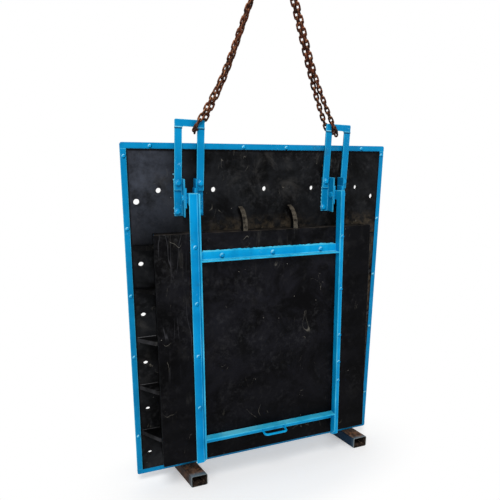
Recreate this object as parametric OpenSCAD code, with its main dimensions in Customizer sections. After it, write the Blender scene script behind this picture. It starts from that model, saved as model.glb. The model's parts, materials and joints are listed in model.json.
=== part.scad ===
// Wall-mounted flap gate: a rubber-lined frame with a seat box round the
// waterway, and a flap that hangs from two hangers and rests on the inclined
// seat. It stands on two bearers under a two-leg chain sling.
// Millimetres. X runs across the gate, -Y is the downstream (front) side.

/* [Frame] */
// Width over the edge trim
frame_w = 1258; // [1200:2:1500]
// Height over the edge trim
frame_h = 1550; // [1540:5:1800]
// Thickness of the steel frame plate
plate_t = 12; // [8:1:20]
// Thickness of the rubber lining on the frame plate
lining_t = 8; // [6:1:12]
// Width of the edge trim on the front
trim_w = 25; // [20:1:40]
// Thickness of the edge trim
trim_t = 5; // [3:1:6]

/* [Waterway and seat] */
// Clear width of the waterway
opening_w = 900; // [700:10:920]
// Clear height of the waterway
opening_h = 924; // [800:4:940]
// Height of the waterway's sill above the bottom edge of the frame
sill_h = 183; // [176:1:200]
// Width of the seat flange round the waterway
seat_land = 64; // [56:1:68]
// Thickness of the seat flange
flange_t = 12; // [8:1:16]
// Thickness of the seat box walls, lining included
wall_t = 26; // [16:1:34]
// Width of the seat seal
seal_w = 40; // [20:1:50]
// Thickness of the seat seal
seal_t = 6; // [4:1:8]
// Gap between the seal and the closed flap
seat_gap = 5; // [5:0.5:6]

/* [Side gussets] */
// Thickness of a gusset, lining included
gusset_t = 20; // [12:1:26]
// Height of the lowest gusset's top face above the bottom edge of the frame
gusset_z = 236; // [200:2:260]
// Spacing of the lower gussets
gusset_pitch = 232; // [200:2:240]
// Lower gussets on each side
gusset_n = 4; // [2:1:4]
// Distance of the top gusset below the top of the seat box
gusset_drop = 47; // [30:1:60]
// Width of the blunt nose of a gusset at the seat box
gusset_nose = 8; // [4:1:14]
// Thickness of the gusset's toe at the trim
gusset_toe = 6; // [4:1:10]

/* [Anchor holes] */
// Diameter of the anchor holes
anchor_d = 22; // [16:1:30]
// Distance of the side holes from the side edge of the frame
side_hole_edge = 63; // [53:1:67]
// Height of the lowest side hole above the bottom edge of the frame
side_hole_z = 108; // [80:1:130]
// Spacing of the side holes
side_hole_pitch = 232; // [200:1:240]
// Holes in each side row
side_hole_n = 5; // [3:1:5]
// Distance of the top row below the top edge of the frame
top_hole_drop = 198; // [180:1:220]
// Spacing of the top row
top_hole_pitch = 240; // [220:1:250]
// Diameter of the upper corner holes
corner_hole_d = 25; // [22:1:32]
// Distance of the upper corner holes from the side edge of the frame
corner_hole_edge = 56; // [53:1:64]
// Distance of the upper corner holes below the top edge of the frame
corner_hole_drop = 244; // [235:1:270]

/* [Hangers] */
// Distance of each hanger's middle from the middle of the gate
hanger_x = 351.5; // [340:0.5:380]
// Width over both legs of a hanger
hanger_w = 127; // [118:1:140]
// Width of a hanger leg
leg_w = 31; // [26:1:31]
// Thickness of the hanger bars
leg_t = 10; // [8:1:12]
// Height of the hanger's top bar
bar_h = 29; // [20:1:40]
// Rise of the hanger above the frame
hanger_rise = 95; // [80:1:140]
// Radius of the hanger's upper corners
hanger_r = 6; // [3:1:10]
// Chamfer in the upper corners of the hanger's eye
eye_chamfer = 5; // [3:1:12]
// Overlap of the hanger legs on the bracket angles
leg_lap = 50; // [40:1:60]
// Lean of both hangers towards +X (degrees)
hanger_lean = 1.8; // [0:0.1:2]

/* [Hinge brackets] */
// Width of the bracket angles' flange on the frame
bracket_w = 40; // [38:1:44]
// Reach of the bracket angles in front of the lining
bracket_leg = 54; // [53:1:55]
// Thickness of the bracket angles
bracket_t = 6; // [5:1:8]
// Length of the bracket angles
bracket_l = 160; // [140:2:180]
// Clear width between the two bracket angles of a hinge
fork_w = 46; // [44:1:50]
// Distance of the hinge fork's middle outboard of the hanger's middle
fork_shift = 1.5; // [0:0.5:2]
// Thickness of the bearing plates
bearing_t = 6; // [5:0.5:7]
// Height of the bearing plates
bearing_h = 84; // [70:2:100]
// Depth of the bearing plates
bearing_d = 43; // [40:1:44]
// Diameter of the hinge pins
pin_d = 16; // [12:1:20]
// Width across flats of the pin heads
pin_head_af = 24; // [22:1:30]
// Thickness of the pin heads
pin_head_t = 8; // [6:1:10]
// Radial clearance of the pins in their bores
pin_clear = 0.05; // [0.02:0.01:0.1]

/* [Flap] */
// Thickness of the flap slab, lining included
flap_t = 28; // [20:1:32]
// Overlap of the flap past the seat box on every side
flap_lap = 4; // [2:1:8]
// Lean of the flap and seat from vertical, foot outwards (degrees)
flap_lean = 2.46; // [1.5:0.02:3]
// Height of the hinge axis above the top edge of the flap
pivot_rise = 147; // [140:1:160]
// Distance of the hinge axis behind the front face of the flap
pivot_back = 42.8; // [41:0.2:46]
// Distance of the hinge axis in front of the trim face
pivot_out = 45; // [44:0.5:48]
// Thickness of the raised rubber panel between the stiffeners
panel_t = 8; // [4:1:12]

/* [Flap stiffeners] */
// Leg length of the stiffener angles
angle_leg = 40; // [36:1:44]
// Thickness of the stiffener angles
angle_t = 6; // [5:1:8]
// Distance of the arms' inner faces from the middle of the gate
arm_x = 327; // [318:1:330]
// Rise of the arms above the hinge axis
arm_rise = 20; // [18:1:21]
// Overhang of the arms below the flap
arm_overhang = 13; // [5:1:20]
// Distance of the top crossbar's rib below the top edge of the flap
top_bar_drop = 120; // [100:2:160]
// Distance of the bottom crossbar's rib above the bottom edge of the flap
bottom_bar_rise = 122; // [100:2:160]
// Width of the hinge lugs on the arms
lug_w = 28; // [20:1:30]
// Radius of the hinge lugs round the pin
lug_r = 21; // [18:1:23]
// Depth of the lug's slanted root below its eye
lug_root = 13; // [8:1:20]

/* [Flap horns and handle] */
// Distance of the horns from the middle of the gate
horn_x = 120; // [80:2:200]
// Thickness of a horn
horn_t = 22; // [16:1:30]
// Outer radius of a horn
horn_r = 94; // [90:1:100]
// Inner radius of a horn
horn_inner_r = 62; // [58:1:66]
// Height of the outer arc's centre above the top edge of the flap
horn_lift = 10; // [0:1:20]
// Height of the inner arc's centre above the outer arc's
horn_taper = 10; // [4:1:16]
// Clearance between a horn's tip and the frame lining
horn_gap = 7; // [6:1:12]
// Diameter of the handle bar
handle_d = 10; // [8:1:14]
// Width of the handle between the middles of its legs
handle_w = 108; // [80:2:160]
// Reach of the handle from its crossbar
handle_reach = 66; // [56:1:80]
// Bend radius of the handle's elbows
handle_bend = 14; // [10:1:20]
// Distance of the handle's axis below the rib above it
handle_drop = 9; // [8:0.5:14]

/* [Bearers] */
// Width of the bearer section
bearer_w = 75; // [50:1:90]
// Height of the bearer section
bearer_h = 60; // [40:1:70]
// Wall of the bearer section
bearer_t = 3.5; // [3:0.5:6]
// Outer corner radius of the bearer section
bearer_r = 8; // [7:0.5:12]
// Reach of the left bearer in front of the trim face
bearer_left_front = 97; // [80:1:160]
// Reach of the right bearer in front of the trim face
bearer_right_front = 87; // [80:1:160]
// Reach of the bearers behind the trim face
bearer_back = 110; // [100:1:200]
// Skew of the bearers in plan (degrees)
bearer_skew = 19; // [0:1:25]
// Distance of the left bearer's front end from the left edge of the frame
bearer_left_inset = 281; // [180:1:330]
// Distance of the right bearer's front end from the right edge of the frame
bearer_right_inset = 83; // [70:1:230]

/* [Chain sling] */
// Diameter of the solid that stands for a chain strand
chain_d = 12; // [10:1:14]
// Run of a chain behind the inner leg of its hanger
chain_run = 26; // [20:1:30]
// Sag of the chains towards the middle of the gate
chain_sag = 24; // [0:1:60]
// Height of the lifting ring's middle above the frame
ring_rise = 850; // [700:5:1000]
// Distance of the lifting ring in front of the trim face
ring_out = 90; // [60:1:120]
// Mean diameter of the lifting ring
ring_d = 120; // [100:2:150]
// Bar diameter of the lifting ring
ring_bar = 20; // [16:1:24]
// Mean diameter of the chains' end links
end_link_d = 44; // [42:1:50]
// Angle of the end links from the lowest point of the ring (degrees)
link_turn = 14; // [12:1:24]
// Twist of the end links out of the plane square to the ring (degrees)
link_twist = 20; // [0:1:25]

/* [Hidden] */
$fn = 64;
// Running clearance of parts that only just touch
touch = 0.3;
// Play of a chain link round the bar that it hangs on
link_play = 2;
// Extra depth that carries a cut past a face
cut = 10;

// Heights are counted from the bottom edge of the frame, depths from the trim face
lining_y = trim_t - lining_t;
plate_back = trim_t + plate_t;
opening_mid = sill_h + opening_h / 2;
box_w = opening_w + 2 * seat_land;
box_h = opening_h + 2 * seat_land;
flap_w = box_w + 2 * flap_lap;
flap_h = box_h + 2 * flap_lap;

// Flap frame: origin on the hinge axis, z along the flap, y square to it
lean_c = cos(flap_lean);
lean_s = sin(flap_lean);
flap_top = -pivot_rise;
flap_bottom = flap_top - flap_h;
box_top = flap_top - flap_lap;
box_bottom = box_top - box_h;
flap_face = -pivot_back;
flap_rear = flap_face + flap_t;
seal_face = flap_rear + seat_gap;
flange_face = seal_face + seal_t;
flange_rear = flange_face + flange_t;
pivot_y = -pivot_out;
pivot_z = opening_mid - (box_top + box_bottom) / 2 * lean_c;
function gate_y(y, z) = pivot_y + y * lean_c + z * lean_s;
function gate_z(y, z) = pivot_z - y * lean_s + z * lean_c;
// Depth of a plane of the flap frame at a height of the gate frame
function depth_at(y, z) = gate_y(y, (z - pivot_z + y * lean_s) / lean_c);
wall_top = gate_z(flange_rear, box_top);
wall_bottom = gate_z(flange_rear, box_bottom);

// Hinge
leg_rear = lining_y - bracket_t;
leg_mid_y = leg_rear - leg_t / 2;
leg_foot = pivot_z + bracket_l / 2 - leg_lap;
bracket_face = lining_y - bracket_leg;
fork_x = hanger_x + fork_shift;
bore_d = pin_d + 2 * pin_clear;
pin_span = fork_w + 2 * bracket_t;
arm_w = angle_leg;
arm_mid = arm_x + arm_w / 2;
arm_top = arm_rise;
arm_bottom = flap_bottom - arm_overhang;
top_rib = flap_top - top_bar_drop;
bottom_rib = flap_bottom + bottom_bar_rise;
rib_face = flap_face - angle_leg;
angle_face = flap_face - angle_t;
// The lug's flanks join its eye a little inside the round
lug_flank = 3;
lug_neck = lug_r - lug_flank;
// Centre of a horn's arcs in the flap frame
horn_cy = flap_face + horn_r;
horn_cz = flap_top + horn_lift;
horn_inner_cz = horn_cz + horn_taper;

// Handle, in the flap frame
handle_z = bottom_rib - angle_t - handle_drop;
handle_y = angle_face - handle_reach;

// Chain
eye_top = frame_h + hanger_rise - bar_h;
chain_x = hanger_x - hanger_w / 2 + leg_w + chain_d / 2 + link_play;
ring_z = frame_h + ring_rise;
// Distance of an end link's middle from the middle of the lifting ring
link_mid_r = (ring_d - ring_bar + end_link_d - chain_d) / 2 - touch;
// Angle of a strand's foot round its end link
foot_turn = asin((chain_d + link_play) / end_link_d);
// Course of a chain round the hanger's bar, from where it lies under the bar
chain_lay = (leg_t + chain_d) / 2;
chain_under = chain_d / 2 + touch;
saddle = [
    [0, -chain_lay - link_play, chain_d / 2], [0, -chain_lay, -chain_under / 2],
    [0, -leg_t / 2, -chain_under], [0, leg_t / 2, -chain_under],
    [-leg_t / 2, chain_lay, -chain_under], [-chain_run, chain_lay + 3 * link_play, -link_play]
];
// Share of the sag at each share of a strand's length
sag_line = [[0, 0], [0.1, 0.45], [0.3, 1], [0.6, 0.6], [1, 0]];

// The part's origin is on the floor, under the middle of the assembly
front_y = gate_y(handle_y - handle_d / 2, handle_z);
mid_y = (front_y + bearer_back) / 2;

// ---- Frames and helpers ----

// Puts gate-frame shapes on the bearers, with the origin under the middle
module gate() { translate([0, -mid_y, bearer_h]) children(); }

// Puts flap-frame shapes in the gate frame
module leaning() { translate([0, pivot_y, pivot_z]) rotate([-flap_lean, 0, 0]) children(); }

// Makes the left-hand piece of a pair from the right-hand one
module left() { mirror([1, 0, 0]) children(); }

// Box between two corners
module block(a, b) { translate(a) cube(b - a); }

// Extrudes an outline drawn in (Y, Z) along X
module along_x(x0, x1) {
    translate([x0, 0, 0]) rotate([90, 0, 90]) linear_extrude(x1 - x0) children();
}

// Round bar along X
module bar_x(d, x0, x1) { translate([x0, 0, 0]) rotate([0, 90, 0]) cylinder(d = d, h = x1 - x0); }

// Round bar from one point to another, with a round end at the first one if ball is given
module bar_between(a, b, d, ball = 0) {
    v = b - a;
    l = norm(v);
    translate(a) rotate([0, acos(v[2] / l), atan2(v[1], v[0])]) {
        cylinder(d = d, h = l);
        if (ball > 0) sphere(d = ball);
    }
}

// Rectangle with round corners, centred
module rounded(w, h, r) {
    square([w - 2 * r, h], center = true);
    square([w, h - 2 * r], center = true);
    for (x = [-1, 1], y = [-1, 1]) translate([x * (w / 2 - r), y * (h / 2 - r)]) circle(r);
}

// ---- Frame ----

// The anchor holes, drawn in (X, Z)
module anchor_holes() {
    for (s = [-1, 1]) {
        for (i = [0 : side_hole_n - 1])
            translate([s * (frame_w / 2 - side_hole_edge), side_hole_z + i * side_hole_pitch])
                circle(d = anchor_d);
        translate([s * (frame_w / 2 - corner_hole_edge), frame_h - corner_hole_drop])
            circle(d = corner_hole_d);
    }
    for (i = [-2 : 2]) translate([i * top_hole_pitch, frame_h - top_hole_drop]) circle(d = anchor_d);
}

// A sheet of the frame with the waterway and anchor holes cut through it
module frame_sheet(inset, y0, y1) {
    translate([0, y1, 0]) rotate([90, 0, 0]) linear_extrude(y1 - y0) difference() {
        translate([inset - frame_w / 2, inset]) square([frame_w - 2 * inset, frame_h - 2 * inset]);
        translate([-opening_w / 2, sill_h]) square([opening_w, opening_h]);
        anchor_holes();
    }
}

module frame_plate() { color("dimgray") gate() frame_sheet(trim_t, trim_t, plate_back); }

module frame_lining() { color([0.1, 0.1, 0.11]) gate() frame_sheet(trim_w, lining_y, trim_t); }

// Edge angle lying along X from x0 to x1, its heel on the bottom edge of the frame
module trim_x(x0, x1) {
    block([x0, 0, 0], [x1, trim_t, trim_w]);
    block([x0, trim_t, 0], [x1, plate_back, trim_t]);
}

module trim_bottom() { color("deepskyblue") gate() trim_x(-frame_w / 2, frame_w / 2); }

module trim_top() {
    color("deepskyblue") gate()
        translate([0, 0, frame_h]) mirror([0, 0, 1]) trim_x(-frame_w / 2, frame_w / 2);
}

module trim_side() {
    color("deepskyblue") gate() {
        block([frame_w / 2 - trim_w, 0, trim_w], [frame_w / 2, trim_t, frame_h - trim_w]);
        block([frame_w / 2 - trim_t, trim_t, trim_t], [frame_w / 2, plate_back, frame_h - trim_t]);
    }
}

module trim_right() { trim_side(); }

module trim_left() { left() trim_side(); }

// ---- Seat box ----

// Side view of the seat box between two heights
module wall_outline(z0, z1) {
    polygon([
        [lining_y, z0], [lining_y, z1],
        [depth_at(flange_rear, z1), z1], [depth_at(flange_rear, z0), z0]
    ]);
}

module seat_wall_side() {
    color([0.12, 0.12, 0.13]) gate()
        along_x(box_w / 2 - wall_t, box_w / 2) wall_outline(wall_bottom, wall_top);
}

module seat_wall_right() { seat_wall_side(); }

module seat_wall_left() { left() seat_wall_side(); }

module seat_wall_top() {
    color([0.12, 0.12, 0.13]) gate()
        along_x(wall_t - box_w / 2, box_w / 2 - wall_t) wall_outline(wall_top - wall_t, wall_top);
}

module seat_wall_bottom() {
    color([0.12, 0.12, 0.13]) gate()
        along_x(wall_t - box_w / 2, box_w / 2 - wall_t) wall_outline(wall_bottom, wall_bottom + wall_t);
}

// Flat ring round the waterway, in the flap frame
module seat_ring(outer_edge, width, y0, y1) {
    w = box_w - 2 * outer_edge;
    h = box_h - 2 * outer_edge;
    translate([0, y1, (box_top + box_bottom) / 2]) rotate([90, 0, 0]) linear_extrude(y1 - y0)
        difference() {
            square([w, h], center = true);
            square([w - 2 * width, h - 2 * width], center = true);
        }
}

module seat_flange() {
    color("dimgray") gate() leaning() seat_ring(0, seat_land, flange_face, flange_rear);
}

module seat_seal() {
    color([0.1, 0.1, 0.1]) gate() leaning()
        seat_ring((seat_land - seal_w) / 2, seal_w, seal_face, flange_face);
}

// Horizontal rib from the trim to the seat box, its top face at height z
module gusset(z) {
    reach = depth_at(flange_face, z);
    toe_x = frame_w / 2 - trim_w - gusset_toe;
    translate([0, 0, z - gusset_t]) linear_extrude(gusset_t) polygon([
        [box_w / 2, lining_y], [toe_x, lining_y], [toe_x, lining_y - gusset_toe],
        [box_w / 2 + gusset_nose, reach], [box_w / 2, reach]
    ]);
}

module gussets() {
    color([0.13, 0.13, 0.14]) gate() {
        for (i = [0 : gusset_n - 1]) gusset(gusset_z + i * gusset_pitch);
        gusset(wall_top - gusset_drop);
    }
}

module gussets_right() { gussets(); }

module gussets_left() { left() gussets(); }

// ---- Hangers and hinges ----

// Leans what hangs on a hanger, round the bolts at its foot
module hung(side) {
    translate([side * hanger_x, 0, leg_foot]) rotate([0, hanger_lean, 0])
        translate([-side * hanger_x, 0, -leg_foot]) children();
}

// Inverted U of flat bar, drawn in (X, Z)
module hanger_outline() {
    w = hanger_w / 2;
    z1 = frame_h + hanger_rise;
    eye_w = hanger_w - 2 * leg_w;
    translate([hanger_x, 0]) difference() {
        polygon(concat(
            [[w, leg_foot], [-w, leg_foot]],
            [for (a = [180 : -15 : 90]) [hanger_r - w, z1 - hanger_r] + hanger_r * [cos(a), sin(a)]],
            [for (a = [90 : -15 : 0]) [w - hanger_r, z1 - hanger_r] + hanger_r * [cos(a), sin(a)]]
        ));
        polygon([
            [-eye_w / 2, leg_foot - cut], [eye_w / 2, leg_foot - cut],
            [eye_w / 2, eye_top - eye_chamfer], [eye_w / 2 - eye_chamfer, eye_top],
            [eye_chamfer - eye_w / 2, eye_top], [-eye_w / 2, eye_top - eye_chamfer]
        ]);
    }
}

module hanger() {
    translate([0, leg_rear, 0]) rotate([90, 0, 0]) linear_extrude(leg_t) hanger_outline();
}

module hanger_right() { color("deepskyblue") gate() hung(1) hanger(); }

module hanger_left() { color("deepskyblue") gate() hung(-1) left() hanger(); }

// Bracket angle beside the fork: side 1 is the outer one, side -1 the inner one
module bracket(side) {
    z0 = pivot_z - bracket_l / 2;
    color("deepskyblue") gate() difference() {
        translate([fork_x, lining_y, z0]) scale([side, -1, 1]) linear_extrude(bracket_l) {
            translate([fork_w / 2, 0]) square([bracket_w, bracket_t]);
            translate([fork_w / 2, 0]) square([bracket_t, bracket_leg]);
        }
        translate([fork_x, pivot_y, pivot_z]) bar_x(bore_d, -pin_span, pin_span);
    }
}

module bracket_right_outer() { bracket(1); }

module bracket_right_inner() { bracket(-1); }

module bracket_left_outer() { left() bracket(1); }

module bracket_left_inner() { left() bracket(-1); }

// Bearing plates on the facing sides of the fork
module bearing_plates() {
    color("deepskyblue") gate() translate([fork_x, 0, 0]) difference() {
        for (side = [-1, 1])
            translate([side * (fork_w - bearing_t) / 2, bracket_face + touch + bearing_d / 2, pivot_z])
                cube([bearing_t, bearing_d, bearing_h], center = true);
        translate([0, pivot_y, pivot_z]) bar_x(bore_d, -pin_span, pin_span);
    }
}

module bearing_plates_right() { bearing_plates(); }

module bearing_plates_left() { left() bearing_plates(); }

// Pin with a hexagon at each end
module hinge_pin() {
    color("deepskyblue") gate() translate([fork_x, pivot_y, pivot_z]) {
        bar_x(pin_d, -pin_span / 2, pin_span / 2);
        for (x = [-pin_span / 2 - pin_head_t, pin_span / 2])
            translate([x, 0, 0]) rotate([0, 90, 0])
                cylinder(d = pin_head_af / cos(30), h = pin_head_t, $fn = 6);
    }
}

module hinge_pin_right() { hinge_pin(); }

module hinge_pin_left() { left() hinge_pin(); }

// ---- Flap ----

module flap_slab() {
    color([0.09, 0.09, 0.1]) gate() leaning()
        block([-flap_w / 2, flap_face, flap_bottom], [flap_w / 2, flap_rear, flap_top]);
}

module flap_panel() {
    color([0.08, 0.08, 0.09]) gate() leaning()
        block([-arm_x, flap_face - panel_t, bottom_rib], [arm_x, flap_face, top_rib]);
}

// Angle stiffener with the rib on the inner side and a bevelled foot
module arm() {
    color("deepskyblue") gate() leaning() {
        block([arm_x + angle_t, angle_face, arm_bottom], [arm_x + arm_w, flap_face, arm_top]);
        along_x(arm_x, arm_x + angle_t) polygon([
            [flap_face, arm_bottom], [flap_face, arm_top], [rib_face, arm_top],
            [rib_face, arm_bottom + angle_leg]
        ]);
    }
}

module arm_right() { arm(); }

module arm_left() { left() arm(); }

// Lug behind the head of an arm, round the hinge pin
module hinge_lug() {
    x0 = fork_x - lug_w / 2;
    x1 = fork_x + lug_w / 2;
    color("deepskyblue") gate() leaning() difference() {
        union() {
            bar_x(2 * lug_r, x0, x1);
            along_x(x0, x1) polygon([
                [flap_face, lug_neck], [-lug_flank, lug_neck],
                [-lug_flank, -lug_neck], [flap_face, -lug_neck - lug_root]
            ]);
        }
        bar_x(bore_d, x0 - cut, x1 + cut);
    }
}

module hinge_lug_right() { hinge_lug(); }

module hinge_lug_left() { left() hinge_lug(); }

// Angle crossbar between the arms: the rib lies between rib_z and rib_z + dir * angle_t
module crossbar(rib_z, dir) {
    color("deepskyblue") gate() leaning()
        translate([0, 0, rib_z]) scale([1, 1, dir]) {
            block([-arm_x, angle_face, 0], [arm_x, flap_face, angle_leg]);
            block([-arm_x, rib_face, 0], [arm_x, angle_face, angle_t]);
        }
}

module crossbar_top() { crossbar(top_rib, 1); }

module crossbar_bottom() { crossbar(bottom_rib, -1); }

// Curved horn that stands on the top edge of the flap and leans back to the frame
module horn() {
    // the tip stops short of the lining
    tip_y = lining_y - horn_gap;
    color([0.14, 0.14, 0.14]) gate() intersection() {
        leaning() along_x(horn_x - horn_t / 2, horn_x + horn_t / 2) difference() {
            translate([horn_cy, horn_cz]) circle(horn_r);
            translate([horn_cy, horn_inner_cz]) circle(horn_inner_r);
            translate([-3 * horn_r, flap_top - 4 * horn_r]) square([6 * horn_r, 4 * horn_r]);
        }
        block([0, tip_y - 2 * horn_r, gate_z(0, flap_top) - horn_r], [2 * horn_x, tip_y, pivot_z]);
    }
}

module horn_right() { horn(); }

module horn_left() { left() horn(); }

// Round bar bent to a square U: two legs from the crossbar, two elbows and a front bar
module handle() {
    color("deepskyblue") gate() leaning() translate([0, handle_y, handle_z]) {
        for (m = [0, 1]) mirror([m, 0, 0]) translate([handle_w / 2, 0, 0]) {
            translate([0, handle_bend, 0]) rotate([-90, 0, 0])
                cylinder(d = handle_d, h = handle_reach - handle_bend);
            translate([-handle_bend, handle_bend, 0]) rotate([0, 0, -90])
                rotate_extrude(angle = 90) translate([handle_bend, 0]) circle(d = handle_d);
        }
        bar_x(handle_d, handle_bend - handle_w / 2, handle_w / 2 - handle_bend);
    }
}

// ---- Bearers ----

// Rectangular hollow section with both ends cut parallel to the gate
module bearer(front_x, reach) {
    l = (reach + bearer_back) / cos(bearer_skew) + 2 * bearer_w;
    color("saddlebrown") translate([0, -mid_y, 0]) intersection() {
        translate([front_x, -reach, bearer_h / 2]) rotate([0, 0, bearer_skew])
            translate([0, l - bearer_w, 0]) rotate([90, 0, 0]) linear_extrude(l) difference() {
                rounded(bearer_w, bearer_h, bearer_r);
                rounded(bearer_w - 2 * bearer_t, bearer_h - 2 * bearer_t, bearer_r - bearer_t);
            }
        block([-frame_w, -reach, 0], [frame_w, bearer_back, bearer_h]);
    }
}

module bearer_left() { bearer(bearer_left_inset - frame_w / 2, bearer_left_front); }

module bearer_right() { bearer(frame_w / 2 - bearer_right_inset, bearer_right_front); }

// ---- Chain sling ----

// Foot of a strand on its end link (0 is the outer strand, 1 the inner one)
function link_point(side, strand) = let (
    turn = (2 * strand - 1) * foot_turn,
    x = -side * sin(link_twist) * sin(turn) * end_link_d / 2,
    r = link_mid_r + cos(turn) * end_link_d / 2
) [
    x * cos(link_turn) + side * sin(link_turn) * r,
    cos(link_twist) * sin(turn) * end_link_d / 2 - ring_out,
    side * x * sin(link_turn) + ring_z - cos(link_turn) * r
];

// Point of a chain's course round the bar of its leaning hanger
function saddle_point(side, i) = let (
    x = side * (chain_x + saddle[i][0] - hanger_x),
    z = eye_top + saddle[i][2] - leg_foot
) [
    side * hanger_x + x * cos(hanger_lean) + z * sin(hanger_lean),
    leg_mid_y + saddle[i][1],
    leg_foot + z * cos(hanger_lean) - x * sin(hanger_lean)
];

// Points of a sagging strand, from its hanger to its end link
function strand_points(side, strand) =
    let (a = saddle_point(side, strand == 0 ? 0 : len(saddle) - 1), b = link_point(side, strand))
        [for (e = sag_line) a + (b - a) * e[0] - [side * chain_sag * e[1], 0, 0]];

// Doubled chain: from the ring, round the hanger's bar and back
module chain(side) {
    outer = strand_points(side, 0);
    last = len(outer) - 1;
    course = concat(
        [for (i = [last : -1 : 0]) outer[i]],
        [for (i = [1 : len(saddle) - 2]) saddle_point(side, i)],
        strand_points(side, 1)
    );
    color([0.32, 0.18, 0.12]) gate() {
        translate([0, -ring_out, ring_z]) rotate([0, -side * link_turn, 0])
            translate([0, 0, -link_mid_r]) rotate([0, 0, side * link_twist]) rotate([0, 90, 0])
                rotate_extrude() translate([end_link_d / 2, 0]) circle(d = chain_d);
        for (i = [1 : len(course) - 1])
            bar_between(course[i - 1], course[i], chain_d, i > 1 ? chain_d + touch : 0);
    }
}

module chain_right() { chain(1); }

module chain_left() { chain(-1); }

module lifting_ring() {
    color([0.3, 0.17, 0.12]) gate() translate([0, -ring_out, ring_z]) rotate([90, 0, 0])
        rotate_extrude() translate([ring_d / 2, 0]) circle(d = ring_bar);
}

frame_plate();
frame_lining();
trim_top();
trim_bottom();
trim_left();
trim_right();
seat_wall_left();
seat_wall_right();
seat_wall_top();
seat_wall_bottom();
seat_flange();
seat_seal();
gussets_left();
gussets_right();
hanger_left();
hanger_right();
bracket_left_outer();
bracket_left_inner();
bracket_right_inner();
bracket_right_outer();
bearing_plates_left();
bearing_plates_right();
hinge_pin_left();
hinge_pin_right();
flap_slab();
flap_panel();
arm_left();
arm_right();
hinge_lug_left();
hinge_lug_right();
crossbar_top();
crossbar_bottom();
horn_left();
horn_right();
handle();
bearer_left();
bearer_right();
chain_left();
chain_right();
lifting_ring();
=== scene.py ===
"""Finish and small pieces of a wall-mounted flap gate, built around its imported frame."""
import json
import math
from contextlib import contextmanager

import bmesh
import bpy
from mathutils import Matrix, Vector


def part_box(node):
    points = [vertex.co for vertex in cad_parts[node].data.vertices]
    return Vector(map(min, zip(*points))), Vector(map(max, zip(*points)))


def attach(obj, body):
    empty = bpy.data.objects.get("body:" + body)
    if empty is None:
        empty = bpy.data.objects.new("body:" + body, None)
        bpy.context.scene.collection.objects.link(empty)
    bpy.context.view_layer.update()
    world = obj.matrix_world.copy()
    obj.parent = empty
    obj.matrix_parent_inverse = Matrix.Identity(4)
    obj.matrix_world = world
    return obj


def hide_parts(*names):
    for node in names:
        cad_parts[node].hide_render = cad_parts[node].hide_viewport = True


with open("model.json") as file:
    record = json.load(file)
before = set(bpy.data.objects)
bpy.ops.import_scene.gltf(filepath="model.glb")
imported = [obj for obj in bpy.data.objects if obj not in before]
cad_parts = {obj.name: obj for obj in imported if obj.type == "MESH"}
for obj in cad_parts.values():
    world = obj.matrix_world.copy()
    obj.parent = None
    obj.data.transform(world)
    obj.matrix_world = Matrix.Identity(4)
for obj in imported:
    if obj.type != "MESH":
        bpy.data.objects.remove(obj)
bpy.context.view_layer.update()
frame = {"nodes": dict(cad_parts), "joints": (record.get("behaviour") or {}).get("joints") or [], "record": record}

MM = 0.001
X_AXIS, Y_AXIS, Z_AXIS = Vector((1, 0, 0)), Vector((0, 1, 0)), Vector((0, 0, 1))

# The flap leans back about its hinge axis; its pieces are made upright and then leaned
LEAN_ANGLE = math.radians(2.46)
HINGE = Vector(frame["joints"][0]["pos_m"])
UPRIGHT = Matrix.Identity(4)
LEANED = Matrix.Translation(HINGE) @ Matrix.Rotation(-LEAN_ANGLE, 4, "X")

# The hangers lean to the right about the bolts at their feet
HANGER_X, HANGER_FOOT = 351.5 * MM, 1411.4 * MM
HANGER_LEAN = math.radians(1.8)

# Steel angle, and the turn of the bearers about the vertical
ANGLE_T = 6 * MM
BEARER_SKEW = math.radians(19)

# Chain sling: the end link under the ring, its lean and twist, and how far round it each of the
# two strands leaves it
END_LINK_R, END_LINK_WIRE, END_LINK_HANG = 22 * MM, 10 * MM, 5.7 * MM
LINK_TURN, LINK_TWIST, FOOT_TURN = math.radians(14), math.radians(20), math.asin(14 / 44)
# Course of a chain round its hanger's bar (mm from the hanger's foot), and its sag up to the ring,
# as shares of the run and of the greatest sag
SADDLE_Y, CHAIN_SAG = 36.952 * MM, 24 * MM
SADDLE = ((-24.5, -13, 268.6), (-24.5, -11, 258.5), (-24.5, -5, 254.3), (-24.5, 5, 254.3),
          (-29.5, 11, 254.3), (-48.5, 17, 260.6))
SAG_LINE = ((0, 0), (0.1, 0.45), (0.3, 1), (0.6, 0.6), (1, 0))
# Share of their gap by which the front and back strands of each chain (left -1, right 1) draw
# together, and how much of that applies at each inner point of the sag line
STRANDS_DRAWN = {-1: (0.3, 0.05), 1: (0.05, 0.3)}
DRAWN_AT = ((1, 0.4), (2, 1), (3, 1))
# Links: their size, their roll in degrees, the further roll above a share of the height, and how
# far they drift round the bar
LINK_WIRE, LINK_PITCH, LINK_INNER = 8.6 * MM, 24.5 * MM, 8 * MM
LINK_ROLL, LINK_TURNED = {-1: 17, 1: 58}, {-1: 45, 1: 0}
TURN_FROM, TURN_TO = 0.2, 0.28
LINK_DRIFT = {-1: -7 * MM, 1: 0}
# Loose links at the front of the bar: place from the hanger's foot, tilt and roll in degrees
BUNCH = ((-20, -17, 261, 62, 25), (-20, -16, 254, 80, -15))

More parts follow.
